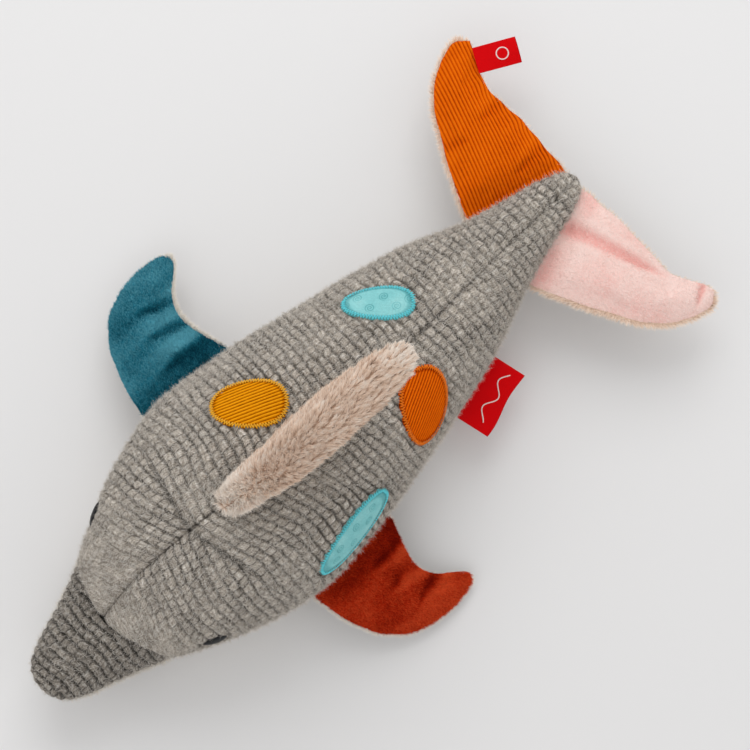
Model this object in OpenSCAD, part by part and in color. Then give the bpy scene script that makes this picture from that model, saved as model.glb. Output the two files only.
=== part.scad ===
// Plush dolphin, lying on its belly. Nose towards -X, tail towards +X, back up.
// The origin is the middle of the flattened belly, on the table. Millimetres.

/* [Body] */
// Length of the body from the nose to the end of the tail stalk
body_len = 408; // [360:1:440]
// Greatest width of the body
body_w = 135; // [120:1:150]
// Height of the back above the table
body_h = 110; // [100:1:120]
// Thickness of the quilted knit
knit_t = 3; // [2:0.5:4]
// Thickness of the belly plush with its pile
plush_t = 4; // [3:0.5:5]
// Angle of the side seam around the body, from the top
seam_angle = 98; // [92:1:106]

/* [Dorsal fin] */
// Height of the dorsal fin above the back
dorsal_h = 60; // [45:1:70]
// Half thickness of the stuffed dorsal fin
dorsal_half = 13; // [9:0.5:15]
// Lean of the dorsal fin towards the left
dorsal_lean = 10; // [0:1:14]

/* [Pectoral fins] */
// Half thickness of a stuffed pectoral fin
pectoral_half = 6.5; // [4:0.5:8]
// Droop of the right pectoral fin below level
droop_right = 10; // [5:1:20]
// Droop of the left pectoral fin below level
droop_left = 26; // [5:1:26]

/* [Flukes] */
// Half thickness of a stuffed fluke
fluke_half = 6; // [4:0.5:8]
// Thickness of the fabrics that the fins and flukes are sewn from
fin_fabric_t = 1.8; // [1:0.1:2.5]

/* [Trim] */
// Thickness of an appliqued patch
patch_t = 1.4; // [1:0.1:2]
// Width of the zigzag stitching round a patch
stitch_w = 2.2; // [1.5:0.1:3]
// Length and height of an embroidered eye
eye_size = 13; // [9:0.5:16]
// Thickness of a folded woven label
label_t = 1.2; // [0.8:0.1:2]
// Length along the seam and reach of the side label
side_label_size = [40, 17]; // [10:1:50]
// Width and reach of the fluke label
fluke_label_size = [15, 22]; // [10:1:30]

/* [Hidden] */

// The stations are drawn for this body and scale with the driving dimensions.
drawn_len = 408;
drawn_w = 135;
drawn_h = 110;
body_scale = [body_len / drawn_len, body_w / drawn_w, body_h / drawn_h, body_h / drawn_h];

// Stations along the body, nose to tail: x, half width, back height, belly height.
stations = [
    [-204, 1.5, 39, 36], [-202.5, 8, 45.5, 29.5], [-197, 14.5, 51, 23.5], [-187, 19.5, 54.5, 19],
    [-171, 25, 58, 15], [-154, 31, 63, 10.5], [-141, 37, 76, 6.5], [-126, 44.5, 88.5, 3],
    [-106, 53.5, 99, 0], [-80, 62, 106.5, -2], [-50, 67.5, 110, -2.5], [-14, 64.5, 109, -2.5],
    [26, 57, 103.5, -2.5], [66, 48.5, 94, -1], [106, 38, 81, 7], [142, 24.5, 67, 20],
    [166, 18, 58.5, 26], [186, 13, 51.5, 31], [199, 8.5, 47, 34.5], [203.5, 4, 43.5, 37.5],
    [204.5, 1, 41, 39.5]
];
last_station = len(stations) - 1;
snout_station = 5; // the seam where the snout meets the head
seam_sweep = 0.8; // how much further back that seam lies at the sides, in stations
seam_wander = [[0, 4], [7, 4], [9, 0], [10, -2], [13, -7], [17, -7], [20, -5]]; // station, dorsal seam's angle
widest_share = 0.42; // height of the widest line between belly and back
back_power = 2.2; // roundness of the section above the widest line
belly_power = 2.6; // roundness of the section below it
full_depth_width = 9; // half width from which the fabric has its full thickness
gap = 0.35; // clearance between neighbouring soft pieces
hinge_gap = 1.8; // clearance from the body to a sewn-on fin's hinge line

// ---------- curves and meshes ----------

function spline(points, t) =
    let (n = len(points) - 1,
         i = min(max(floor(t), 0), n - 1),
         f = t - i,
         a = points[max(i - 1, 0)],
         b = points[i],
         c = points[i + 1],
         d = points[min(i + 2, n)])
    0.5 * (2 * b + (c - a) * f + (2 * a - 5 * b + 4 * c - d) * f * f
           + (3 * b - a - 3 * c + d) * f * f * f);

function mix(a, b, f) = a + (b - a) * f;
function power(v, e) = sign(v) * pow(abs(v), e);
function unit(v) = v / norm(v);
function turned(p, a) = [p[0] * cos(a) - p[1] * sin(a), p[0] * sin(a) + p[1] * cos(a)];

// Triangles of a grid of rows x columns points that starts at index first.
function grid_faces(rows, columns, first = 0, flip = false) = [
    for (i = [0 : rows - 2], j = [0 : columns - 2])
        let (a = first + i * columns + j, b = a + 1, c = a + columns + 1, d = a + columns)
        each (flip ? [[a, b, c], [a, c, d]] : [[a, c, b], [a, d, c]])
];

// Triangles between two lines of points, given as lists of indices.
function strip_faces(p, q, flip = false) = [
    for (i = [0 : len(p) - 2])
        each (flip ? [[p[i], q[i + 1], p[i + 1]], [p[i], q[i], q[i + 1]]]
                   : [[p[i], p[i + 1], q[i + 1]], [p[i], q[i + 1], q[i]]])
];

// A closed solid between an outer and an inner grid of the same size.
module shell(outer, inner, flip = false) {
    rows = len(outer);
    columns = len(outer[0]);
    count = rows * columns;
    first_row = [for (j = [0 : columns - 1]) j];
    last_row = [for (j = [0 : columns - 1]) (rows - 1) * columns + j];
    first_column = [for (i = [0 : rows - 1]) i * columns];
    last_column = [for (i = [0 : rows - 1]) i * columns + columns - 1];
    polyhedron(
        points = concat([for (r = outer) each r], [for (r = inner) each r]),
        faces = concat(
            grid_faces(rows, columns, 0, flip),
            grid_faces(rows, columns, count, !flip),
            strip_faces(first_row, first_row + [for (k = first_row) count], flip),
            strip_faces(last_row, last_row + [for (k = last_row) count], !flip),
            strip_faces(first_column, first_column + [for (k = first_column) count], !flip),
            strip_faces(last_column, last_column + [for (k = last_column) count], flip)));
}

// A closed solid through rings of points, with fans over both ends.
module loft(rings, flip = false) {
    n = len(rings);
    m = len(rings[0]);
    middle = function (ring) [for (k = [0 : 2]) ring * 0 == 0 ? 0 : [for (p = ring) p[k]] * [for (p = ring) 1 / m]];
    sides = [
        for (i = [0 : n - 2], j = [0 : m - 1])
            let (a = i * m + j, b = i * m + (j + 1) % m, c = b + m, d = a + m)
            each (flip ? [[a, b, c], [a, c, d]] : [[a, c, b], [a, d, c]])
    ];
    ends = [
        for (j = [0 : m - 1])
            let (b = (j + 1) % m, c = (n - 1) * m)
            each (flip ? [[n * m, b, j], [n * m + 1, c + j, c + b]]
                       : [[n * m, j, b], [n * m + 1, c + b, c + j]])
    ];
    polyhedron(
        points = concat([for (r = rings) each r], [middle(rings[0]), middle(rings[n - 1])]),
        faces = concat(sides, ends));
}

// A closed ring: a loop of small closed sections.
module loop(sections, flip = false) {
    n = len(sections);
    m = len(sections[0]);
    polyhedron(
        points = [for (s = sections) each s],
        faces = [
            for (i = [0 : n - 1], j = [0 : m - 1])
                let (k = (i + 1) % n, a = i * m + j, b = i * m + (j + 1) % m, c = k * m + (j + 1) % m, d = k * m + j)
                each (flip ? [[a, b, c], [a, c, d]] : [[a, c, b], [a, d, c]])
        ]);
}

// ---------- the body's surface ----------

function station(t) =
    let (s = spline(stations, t))
    [s[0] * body_scale[0], s[1] * body_scale[1], s[2] * body_scale[2], s[3] * body_scale[3]];

function widest_z(s) = mix(s[3], s[2], widest_share);

// A point of the outer surface: t counts stations, angle goes round from the top, right side positive.
function skin_point(t, angle) =
    let (s = station(t),
         z = widest_z(s),
         up = abs(angle) <= 90 || abs(angle) >= 270,
         e = 2 / (up ? back_power : belly_power),
         half_h = up ? s[2] - z : z - s[3])
    [s[0], s[1] * power(sin(angle), e), z + half_h * power(cos(angle), e)];

function skin_normal(t, angle) =
    let (along = skin_point(min(t + 0.02, last_station), angle) - skin_point(max(t - 0.02, 0), angle),
         round = skin_point(t, angle + 0.5) - skin_point(t, angle - 0.5))
    unit(cross(along, round));

// A point at a depth below the skin; the depth shrinks where the body comes to an end.
function under(t, angle, depth) =
    skin_point(t, angle) - depth * min(1, station(t)[1] / full_depth_width) * skin_normal(t, angle);

// The station count at a given x, by bisection.
function station_at(x, low = 0, high = last_station, left = 24) =
    left == 0 ? (low + high) / 2
    : let (middle = (low + high) / 2)
      station(middle)[0] < x ? station_at(x, middle, high, left - 1) : station_at(x, low, middle, left - 1);

function half_width(x) = station(station_at(x))[1];
function seam_z(x) = skin_point(station_at(x), seam_angle)[2];
function back_z(x) = station(station_at(x))[2];

// Part of the body's skin: share 0 to 1 runs from start(angle) to finish(angle), both in stations.
function skin_grid(angles, rows, start, finish, depth) = [
    for (i = [0 : rows])
        [for (a = angles) under(mix(start(a), finish(a), i / rows), a, depth)]
];

function angles_between(a, b, steps) = [for (k = [0 : steps]) mix(a, b, k / steps)];

neck = function (a) snout_station + seam_sweep * pow(sin(a), 2);
neck_front = function (a) neck(a) - 0.02;
neck_back = function (a) neck(a) + 0.02;
nose_end = function (a) 0;
tail_end = function (a) last_station;

body_rows = 34;
snout_rows = 12;
seam_step = 0.4; // half of the gap at the side seam, in degrees

// A side panel runs from the dorsal seam, which wanders a little, down to the side seam.
module side_panel(side) {
    shares = angles_between(0, 1, 10);
    grid = function (depth) [
        for (i = [0 : body_rows])
            [for (f = shares)
                let (top = lookup(mix(snout_station, last_station, i / body_rows), seam_wander),
                     a = mix(top, side * (seam_angle - seam_step), f))
                under(mix(neck_back(a), last_station, i / body_rows), a, depth)]
    ];
    translate([0, side * gap / 2, 0]) shell(grid(0), grid(knit_t), side > 0);
}

module below_table() {
    translate([-body_len, -body_w, -20]) cube([2 * body_len, 2 * body_w, 20]);
}

module lower_skin(rows, start, finish, thickness) {
    angles = angles_between(seam_angle + seam_step, 360 - seam_angle - seam_step, 16);
    shell(skin_grid(angles, rows, start, finish, 0), skin_grid(angles, rows, start, finish, thickness), true);
}

module side_panel_left() { color("#98948f") side_panel(-1); }

module side_panel_right() { color("#98948f") side_panel(1); }

module belly_panel() {
    color("#e9e1d6") difference() {
        lower_skin(body_rows, neck_back, tail_end, plush_t);
        below_table();
    }
}

module snout_upper() {
    angles = angles_between(-seam_angle + seam_step, seam_angle - seam_step, 18);
    color("#8a8580")
        shell(
            skin_grid(angles, snout_rows, nose_end, neck_front, 0),
            skin_grid(angles, snout_rows, nose_end, neck_front, knit_t),
            true);
}

module snout_lower() {
    color("#e9e1d6") lower_skin(snout_rows, nose_end, neck_front, knit_t);
}

module body_stuffing() {
    around = [for (k = [0 : 35]) k * 10];
    rows = 46;
    depth = plush_t + gap + 0.25;
    color("white")
        loft([for (i = [0 : rows])
            [for (a = around) under(mix(1.3, last_station - 1.1, i / rows), a, depth)]], true);
}

// ---------- embroidery and patches on the skin ----------

// A point on the skin at dx along and ds round from a centre, raised by a height.
function on_skin(x, angle, dx, ds, height) =
    let (t = station_at(x),
         radius = norm(skin_point(t, angle + 1) - skin_point(t, angle - 1)) / 2,
         a = angle + ds / radius)
    under(station_at(x + dx), a, -height);

// The outline of a patch: an egg whose blunt end points along its own axis.
function egg(length, width, turn, grow, angle) =
    turned([(length / 2 + grow) * cos(angle), (width / 2 + grow) * sin(angle) * (1 + 0.12 * cos(angle))], turn);

module patch(x, angle, length, width, turn) {
    shares = [0.02, 0.4, 0.75, 1];
    around = [for (k = [0 : 28]) k == 28 ? 0 : k * 360 / 28];
    point = function (share, k, height)
        let (e = share * egg(length, width, turn, -stitch_w / 2, around[k]))
        on_skin(x, angle, e[0], e[1], height);
    ring = function (share, height) [for (k = [0 : 27]) point(share, k, height)];
    loft(concat(
        [for (s = shares) ring(s, patch_t)],
        [for (k = [3 : -1 : 0]) ring(shares[k], gap)]), true);
}

module stitching(x, angle, length, width, turn) {
    point = function (grow, a, height)
        let (e = egg(length, width, turn, grow, a))
        on_skin(x, angle, e[0], e[1], height);
    inside = -stitch_w / 2 + gap / 2;
    outside = stitch_w / 2;
    loop([for (k = [0 : 39])
        let (a = k * 9)
        [point(inside, a, gap), point(outside, a, gap), point(outside, a, patch_t), point(inside, a, patch_t + 0.4)]],
        true);
}

// x, angle round the body, length, width and turn of each patch.
mustard = [-17, 23.4, 41, 25, -42];
aqua_right = [71, 24, 38, 20, -42];
orange = [51, -43, 45, 30, 62];
aqua_left = [-23, -62.5, 55, 22, 6];

module patch_mustard() { color("#dc9614") patch(mustard[0], mustard[1], mustard[2], mustard[3], mustard[4]); }
module patch_aqua_right() { color("#7cc8c8") patch(aqua_right[0], aqua_right[1], aqua_right[2], aqua_right[3], aqua_right[4]); }
module patch_orange() { color("#e0660c") patch(orange[0], orange[1], orange[2], orange[3], orange[4]); }
module patch_aqua_left() { color("#7cc8c8") patch(aqua_left[0], aqua_left[1], aqua_left[2], aqua_left[3], aqua_left[4]); }

module stitching_mustard() { color("#c98a10") stitching(mustard[0], mustard[1], mustard[2], mustard[3], mustard[4]); }
module stitching_aqua_right() { color("#3cc3cf") stitching(aqua_right[0], aqua_right[1], aqua_right[2], aqua_right[3], aqua_right[4]); }
module stitching_orange() { color("#e87a14") stitching(orange[0], orange[1], orange[2], orange[3], orange[4]); }
module stitching_aqua_left() { color("#3cc3cf") stitching(aqua_left[0], aqua_left[1], aqua_left[2], aqua_left[3], aqua_left[4]); }

eye_x = -117;
eye_angle = 76;
eye_height = 2.2;

module eye(side) {
    dome = [for (k = [0 : 5]) [1.02 - k * 0.2, gap + eye_height * sqrt(1 - pow(1.02 - k * 0.2, 2) * 0.94)]];
    ring = function (share, height)
        [for (k = [0 : 23]) on_skin(eye_x, side * eye_angle,
            share * eye_size / 2 * cos(k * 15), side * share * eye_size / 2 * sin(k * 15), height)];
    loft(concat([ring(0.3, gap)], [ring(1, gap)], [for (d = [for (k = [0 : 4]) dome[k]]) ring(d[0] / 1.02, d[1])]), side < 0);
}

module eye_left() { color("#1c1c1e") eye(-1); }
module eye_right() { color("#1c1c1e") eye(1); }

// ---------- fins ----------

// Outlines in the fin's own plane: first number along the root towards the tail, second outward.
pectoral_lead = [[0, 0], [2, 16.5], [6, 33], [11, 46], [21, 59], [33, 66], [46, 69.5], [58, 70], [66, 68.5]];
pectoral_trail = [[60.5, 0], [57.5, 8], [54.5, 17], [52.5, 26.5], [53, 36], [57, 45.5], [64, 54], [68.5, 60], [69, 65]];
fluke_lead = [[0, 0], [2.5, 15], [6.5, 32], [11, 47], [16, 62], [23.5, 74.5], [32, 83], [42, 89.5], [47, 90.5]];
fluke_trail = [[61.5, 0], [59.5, 8], [58, 21], [55, 33], [51.5, 47.5], [48.5, 60], [50.5, 71], [53, 80], [53.5, 86.5]];
dorsal_lead = [[0, 0], [9, 15], [21, 30], [37.5, 42], [57, 51.5], [78, 58], [98, 60.5], [111, 60], [118.5, 58]];
dorsal_trail = [[87, 0], [86, 9], [87, 18], [90, 26], [94.5, 33], [100.5, 40], [107.5, 46], [115, 51.5], [119.5, 55]];

fin_rows = 16;
fin_columns = 9;
fin_edge = 1.6; // half thickness at the sewn edge
fin_root = 1.2; // half thickness where the fin enters the seam

// Half thickness at u from root to tip and v from the leading to the trailing edge.
function fin_half(u, v, half) =
    let (along = u < 0.3 ? mix(fin_root, half, pow(sin(u * 300), 0.8)) : mix(half, fin_edge, pow((u - 0.3) / 0.7, 1.6)),
         across = pow(sin(180 * v), 0.7))
    mix(min(fin_edge, along), along, across);

// A point in the fin's frame: [along the root, outward, up].
function fin_point(lead, trail, u, v, height) =
    let (n = len(lead) - 1, p = mix(spline(lead, u * n), spline(trail, u * n), v))
    [p[0], p[1], height];

module fin_skin(lead, trail, half, side) {
    grid = function (height) [
        for (i = [0 : fin_rows])
            [for (j = [0 : fin_columns])
                let (u = i / fin_rows, v = j / fin_columns)
                fin_point(lead, trail, u, v, side * height(fin_half(u, v, half)))]
    ];
    shell(grid(function (h) h), grid(function (h) max(h - fin_fabric_t, gap / 2)), side < 0);
}

module fin_stuffing(lead, trail, half) {
    rows = 12;
    columns = 7;
    grid = function (side) [
        for (i = [0 : rows])
            [for (j = [0 : columns])
                let (u = mix(0.08, 0.8, i / rows), v = mix(0.12, 0.88, j / columns))
                fin_point(lead, trail, u, v, side * max(fin_half(u, v, half) - fin_fabric_t - gap, 0.1))]
    ];
    shell(grid(1), grid(-1));
}

// Places a fin drawn on the right side: its root line starts at from and ends at to, tilted by droop.
module on_root(from, to, droop, side) {
    along = to - from;
    turn = atan2(along[1], along[0]);
    rise = atan2(along[2], norm([along[0], along[1]]));
    mirror([0, side < 0 ? 1 : 0, 0])
        translate(from)
            rotate([0, 0, turn])
                rotate([0, -rise, 0])
                    rotate([-droop, 0, 0])
                        children();
}

// Pectoral fins: the root line stands off the body's side seam.
pectoral_x = [-62, -3];
side_bulge = 1.8; // how far the side rises beyond the chord between the two ends
pectoral_root = [for (x = pectoral_x) [x, half_width(x) + hinge_gap + side_bulge, seam_z(x)]];

module pectoral_place(side) {
    on_root(pectoral_root[0], pectoral_root[1], side > 0 ? droop_right : droop_left, side) children();
}

module pectoral_right_upper_skin() { color("#26697f") pectoral_place(1) fin_skin(pectoral_lead, pectoral_trail, pectoral_half, 1); }
module pectoral_right_lower_skin() { color("#e9dccd") pectoral_place(1) fin_skin(pectoral_lead, pectoral_trail, pectoral_half, -1); }
module pectoral_right_stuffing() { color("white") pectoral_place(1) fin_stuffing(pectoral_lead, pectoral_trail, pectoral_half); }
module pectoral_left_upper_skin() { color("#b5391a") pectoral_place(-1) fin_skin(pectoral_lead, pectoral_trail, pectoral_half, 1); }
module pectoral_left_lower_skin() { color("#e9dccd") pectoral_place(-1) fin_skin(pectoral_lead, pectoral_trail, pectoral_half, -1); }
module pectoral_left_stuffing() { color("white") pectoral_place(-1) fin_stuffing(pectoral_lead, pectoral_trail, pectoral_half); }

// Flukes: the root line runs along the side of the tail stalk, level.
fluke_x = [144, 204];
fluke_root = [for (x = fluke_x) [x, half_width(min(x, 197)) + hinge_gap + 0.8, 40]];

module fluke_place(side) {
    on_root(fluke_root[0], fluke_root[1], 0, side) children();
}

module fluke_right_upper_skin() { color("#d9640c") fluke_place(1) fin_skin(fluke_lead, fluke_trail, fluke_half, 1); }
module fluke_right_lower_skin() { color("#d8c9b8") fluke_place(1) fin_skin(fluke_lead, fluke_trail, fluke_half, -1); }
module fluke_right_stuffing() { color("white") fluke_place(1) fin_stuffing(fluke_lead, fluke_trail, fluke_half); }
module fluke_left_upper_skin() { color("#f0cdc8") fluke_place(-1) fin_skin(fluke_lead, fluke_trail, fluke_half, 1); }
module fluke_left_lower_skin() { color("#d8c9b8") fluke_place(-1) fin_skin(fluke_lead, fluke_trail, fluke_half, -1); }
module fluke_left_stuffing() { color("white") fluke_place(-1) fin_stuffing(fluke_lead, fluke_trail, fluke_half); }

// Dorsal fin: its root line stands off the dorsal seam, and the fin leans to the left.
dorsal_x = [-62, 25];
dorsal_bulge = 2.2; // how far the back rises above the chord between the two ends
dorsal_root = [for (x = dorsal_x) [x, 0, back_z(x) + dorsal_bulge + hinge_gap]];
drawn_dorsal_h = 60;

module dorsal_place() {
    on_root(dorsal_root[0], dorsal_root[1], -90 - dorsal_lean, 1)
        scale([1, dorsal_h / drawn_dorsal_h, 1]) children();
}

module dorsal_fin_left_skin() { color("#cdbba9") dorsal_place() fin_skin(dorsal_lead, dorsal_trail, dorsal_half, 1); }
module dorsal_fin_right_skin() { color("#cdbba9") dorsal_place() fin_skin(dorsal_lead, dorsal_trail, dorsal_half, -1); }
module dorsal_fin_stuffing() { color("white") dorsal_place() fin_stuffing(dorsal_lead, dorsal_trail, dorsal_half); }

// ---------- labels ----------

side_label_x = 65;
side_label_droop = 14;

module label(width, reach) {
    translate([0, 0, -label_t / 2]) cube([width, reach, label_t]);
}

module side_label() {
    x = [side_label_x, side_label_x + side_label_size[0]];
    from = [x[0], half_width(x[0]) + hinge_gap, seam_z(x[0])];
    to = [x[1], half_width(x[1]) + hinge_gap, seam_z(x[1])];
    color("#d3141c") on_root(from, to, side_label_droop, -1) label(side_label_size[0], side_label_size[1]);
}

// The fluke label stands off the trailing edge of the right fluke, near its tip.
fluke_label_at = [55, 80.5];
fluke_label_turn = -105;

module fluke_label() {
    color("#d3141c") fluke_place(1)
        translate([fluke_label_at[0], fluke_label_at[1], 0])
            rotate([0, 0, fluke_label_turn]) label(fluke_label_size[0], fluke_label_size[1]);
}

side_panel_left();
side_panel_right();
belly_panel();
snout_upper();
snout_lower();
body_stuffing();
eye_left();
eye_right();
patch_mustard();
patch_aqua_right();
patch_orange();
patch_aqua_left();
stitching_mustard();
stitching_aqua_right();
stitching_orange();
stitching_aqua_left();
dorsal_fin_left_skin();
dorsal_fin_right_skin();
dorsal_fin_stuffing();
pectoral_right_upper_skin();
pectoral_right_lower_skin();
pectoral_right_stuffing();
pectoral_left_upper_skin();
pectoral_left_lower_skin();
pectoral_left_stuffing();
fluke_right_upper_skin();
fluke_right_lower_skin();
fluke_right_stuffing();
fluke_left_upper_skin();
fluke_left_lower_skin();
fluke_left_stuffing();
side_label();
fluke_label();
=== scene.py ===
"""Plush dolphin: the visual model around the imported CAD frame. Lengths are in millimetres until a mesh is made."""
import math

import bmesh
import bpy
import numpy as np
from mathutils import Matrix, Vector


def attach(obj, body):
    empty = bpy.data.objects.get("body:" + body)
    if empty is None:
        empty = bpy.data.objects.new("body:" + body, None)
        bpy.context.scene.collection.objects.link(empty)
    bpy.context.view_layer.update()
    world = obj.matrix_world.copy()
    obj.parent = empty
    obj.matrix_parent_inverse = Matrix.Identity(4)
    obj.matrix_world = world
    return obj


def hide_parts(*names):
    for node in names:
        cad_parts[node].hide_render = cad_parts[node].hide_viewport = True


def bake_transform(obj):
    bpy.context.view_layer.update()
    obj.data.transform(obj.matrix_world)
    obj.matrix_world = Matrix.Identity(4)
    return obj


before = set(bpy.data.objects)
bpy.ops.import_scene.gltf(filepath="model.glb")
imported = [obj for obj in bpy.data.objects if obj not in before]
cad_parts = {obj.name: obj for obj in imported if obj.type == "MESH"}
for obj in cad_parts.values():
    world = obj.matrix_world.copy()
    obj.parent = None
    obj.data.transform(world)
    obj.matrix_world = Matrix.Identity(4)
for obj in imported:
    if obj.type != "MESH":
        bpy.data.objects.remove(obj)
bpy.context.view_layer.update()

# ---- numbers shared with the CAD model
MM = 0.001
STATIONS = np.array([  # x, half width, top and bottom of the body's sections, from the snout to the tail
    [-204, 1.5, 39, 36], [-202.5, 8, 45.5, 29.5], [-197, 14.5, 51, 23.5], [-187, 19.5, 54.5, 19],
    [-171, 25, 58, 15], [-154, 31, 63, 10.5], [-141, 37, 76, 6.5], [-126, 44.5, 88.5, 3],
    [-106, 53.5, 99, 0], [-80, 62, 106.5, -2], [-50, 67.5, 110, -2.5], [-14, 64.5, 109, -2.5],
    [26, 57, 103.5, -2.5], [66, 48.5, 94, -1], [106, 38, 81, 7], [142, 24.5, 67, 20],
    [166, 18, 58.5, 26], [186, 13, 51.5, 31], [199, 8.5, 47, 34.5], [203.5, 4, 43.5, 37.5],
    [204.5, 1, 41, 39.5]], float)
LAST = len(STATIONS) - 1
NECK, NECK_SWEEP = 5.0, 0.8  # the station of the snout's seam at the top, and how much further back it is at the sides
SEAM_ANGLE = 98.0  # the side seam, in degrees round from the top
# A fin's two edges: along its root, then out from it.
PECTORAL_LEAD = [[0, 0], [2, 16.5], [6, 33], [11, 46], [21, 59], [33, 66], [46, 69.5], [58, 70], [66, 68.5]]
PECTORAL_TRAIL = [[60.5, 0], [57.5, 8], [54.5, 17], [52.5, 26.5], [53, 36], [57, 45.5], [64, 54], [68.5, 60], [69, 65]]
FLUKE_LEAD = [[0, 0], [2.5, 15], [6.5, 32], [11, 47], [16, 62], [23.5, 74.5], [32, 83], [42, 89.5], [47, 90.5]]
FLUKE_TRAIL = [[61.5, 0], [59.5, 8], [58, 21], [55, 33], [51.5, 47.5], [48.5, 60], [50.5, 71], [53, 80], [53.5, 86.5]]
DORSAL_LEAD = [[0, 0], [9, 15], [21, 30], [37.5, 42], [57, 51.5], [78, 58], [98, 60.5], [111, 60], [118.5, 58]]
DORSAL_TRAIL = [[87, 0], [86, 9], [87, 18], [90, 26], [94.5, 33], [100.5, 40], [107.5, 46], [115, 51.5], [119.5, 55]]
PATCHES = {  # x, angle round the body, length, width, turn
    "mustard": (-17, 23.4, 41, 27, -42), "aqua_right": (71, 24, 38, 20, -42),
    "orange": (51, -43, 45, 30, 62), "aqua_left": (-23, -62.5, 55, 22, 6)}
EYE_X, EYE_ANGLE, EYE_SIZE = -117, 76, 13
LABELS = {"side_label": (40, 17), "fluke_label": (15, 22)}  # width, and how far it reaches out of its seam

# ---- numbers of the visual model alone
SEAM_WANDER = np.array([[0, 4], [7, 4], [9, 0], [10, -2], [13, -7], [17, -7], [20, -5]], float)  # station, angle
NOSE_TIP, TAIL_TIP = (-204.6, 0, 37.4), (204.8, 0, 40.2)  # where the panels close at the two ends
TAIL_END = LAST - 0.02  # the last station that a panel's grid reaches
RIB, BLOCK = 5.8, 4.9  # the knit: rib pitch, and the length of the blocks each rib is quilted into
GOLDEN = 0.618034  # each rib's blocks start this share of a block after the last rib's
DART_X, DART_SLOPE, DART_LONG = -85.6, 0.19, 50.0
YARN = 1.3  # pitch of the yarn along a rib
HEM = 0.9  # how far a patch reaches under its zigzag, beyond the clean middle
STITCH_PITCH, THREAD = 1.5, 0.25  # the zigzag: one pitch is a stitch out and one back; the thread's radius
LABEL_HIDDEN = 3.0  # what each end of a label's ribbon has inside the seam
PATCH_RIB = 1.8  # rib pitch of the corduroy patches
ROOT_DEPTH = 6.0  # how far a fin's layers go on inside the seam
EDGE_STRANDS = 60000  # strands tried all over a lower layer for the pile at its edge
TUFT = np.array([3.6, 1.9, 1.9])  # size of the dorsal fur's tufts
SIM_SCALE = 10  # the cloth solver is happiest with pieces of half a metre
SIM_FRAMES = 26
CLOTH_SETTINGS = {
    "quality": 6, "mass": 0.25, "tension_stiffness": 25, "compression_stiffness": 12, "shear_stiffness": 6,
    "bending_stiffness": 0.12, "tension_damping": 8, "compression_damping": 8, "shear_damping": 8, "air_damping": 3,
    "use_pressure": True, "uniform_pressure_force": 5.0, "vertex_group_mass": "pin"}


# ---- numbers and noise
def spline(points, t):
    """A smooth curve through rows of numbers, at t in steps of one row."""
    points, t = np.asarray(points, float), np.asarray(t, float)
    n = len(points) - 1
    i = np.clip(np.floor(t).astype(int), 0, n - 1)
    f = (t - i)[..., None]
    a, b, c, d = points[np.maximum(i - 1, 0)], points[i], points[i + 1], points[np.minimum(i + 2, n)]
    return 0.5 * (2 * b + (c - a) * f + (2 * a - 5 * b + 4 * c - d) * f ** 2 + (3 * b - a - 3 * c + d) * f ** 3)


def clamp(x):
    return np.clip(x, 0, 1)


def smooth(x, low, high):
    """A smooth step from 0 at low to 1 at high."""
    f = clamp((np.asarray(x, float) - low) / (high - low))
    return f * f * (3 - 2 * f)


def ridge(d, width):
    """1 where d is 0, falling away to both sides."""
    return np.exp(-(d / width) ** 2)


def fade(d, length):
    """1 where d is 0, dying out over a length."""
    return np.exp(-d / length)


def hump(f, power):
    """0 at whole f, 1 between, and the flatter the higher the power, for f from 0 to 1."""
    return clamp(1 - np.abs(2 * f - 1) ** power)


def unit(v):
    return v / np.maximum(np.linalg.norm(v, axis=-1, keepdims=True), 1e-9)


def rotated(p, q, degrees):
    c, s = math.cos(math.radians(degrees)), math.sin(math.radians(degrees))
    return p * c - q * s, p * s + q * c


def hashed(*keys):
    """A fixed random number from 0 to 1 for whole-number keys."""
    h = np.int64(1013904223)
    for k, m in zip(keys, (374761393, 668265263, 2147483647, 1274126177)):
        h = (h ^ (np.asarray(k).astype(np.int64) * m)) & 0xFFFFFFFF
        h = ((h ^ (h >> 15)) * 2246822519) & 0xFFFFFFFF
        h = ((h ^ (h >> 13)) * 3266489917) & 0xFFFFFFFF
    return ((h ^ (h >> 16)) & 0xFFFFFF) / float(0xFFFFFF)


def noise(x, y, seed=0):
    """Smooth noise from -1 to 1 with cells of size 1."""
    x, y = np.broadcast_arrays(np.asarray(x, float), np.asarray(y, float))
    ix, iy = np.floor(x).astype(np.int64), np.floor(y).astype(np.int64)
    fx, fy = x - ix, y - iy
    fx, fy = fx * fx * (3 - 2 * fx), fy * fy * (3 - 2 * fy)
    a, b = hashed(ix, iy, seed), hashed(ix + 1, iy, seed)
    c, d = hashed(ix, iy + 1, seed), hashed(ix + 1, iy + 1, seed)
    return 2 * ((a * (1 - fx) + b * fx) * (1 - fy) + (c * (1 - fx) + d * fx) * fy) - 1


def rough(x, y, seed=0, octaves=3):
    return sum(noise(x * 2 ** k, y * 2 ** k, seed + 17 * k) / 2 ** k for k in range(octaves)) / 1.6


# ---- the body's surface
def skin(t, angle):
    """The point of the CAD body's surface at a station, and at an angle in degrees round from the top."""
    s = spline(STATIONS, t)
    a = np.radians(angle)
    z = s[..., 3] + (s[..., 2] - s[..., 3]) * 0.42
    up = np.cos(a) >= 0
    e = np.where(up, 2 / 2.2, 2 / 2.6)
    half = np.where(up, s[..., 2] - z, z - s[..., 3])
    return np.stack([
        s[..., 0] + 0 * a,
        s[..., 1] * np.sign(np.sin(a)) * np.abs(np.sin(a)) ** e,
        z + half * np.sign(np.cos(a)) * np.abs(np.cos(a)) ** e], -1)


def skin_normal(t, angle):
    along = skin(np.minimum(t + 0.02, LAST), angle) - skin(np.maximum(t - 0.02, 0), angle)
    around = skin(t, angle + 0.5) - skin(t, angle - 0.5)
    return unit(np.cross(along, around))


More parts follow.
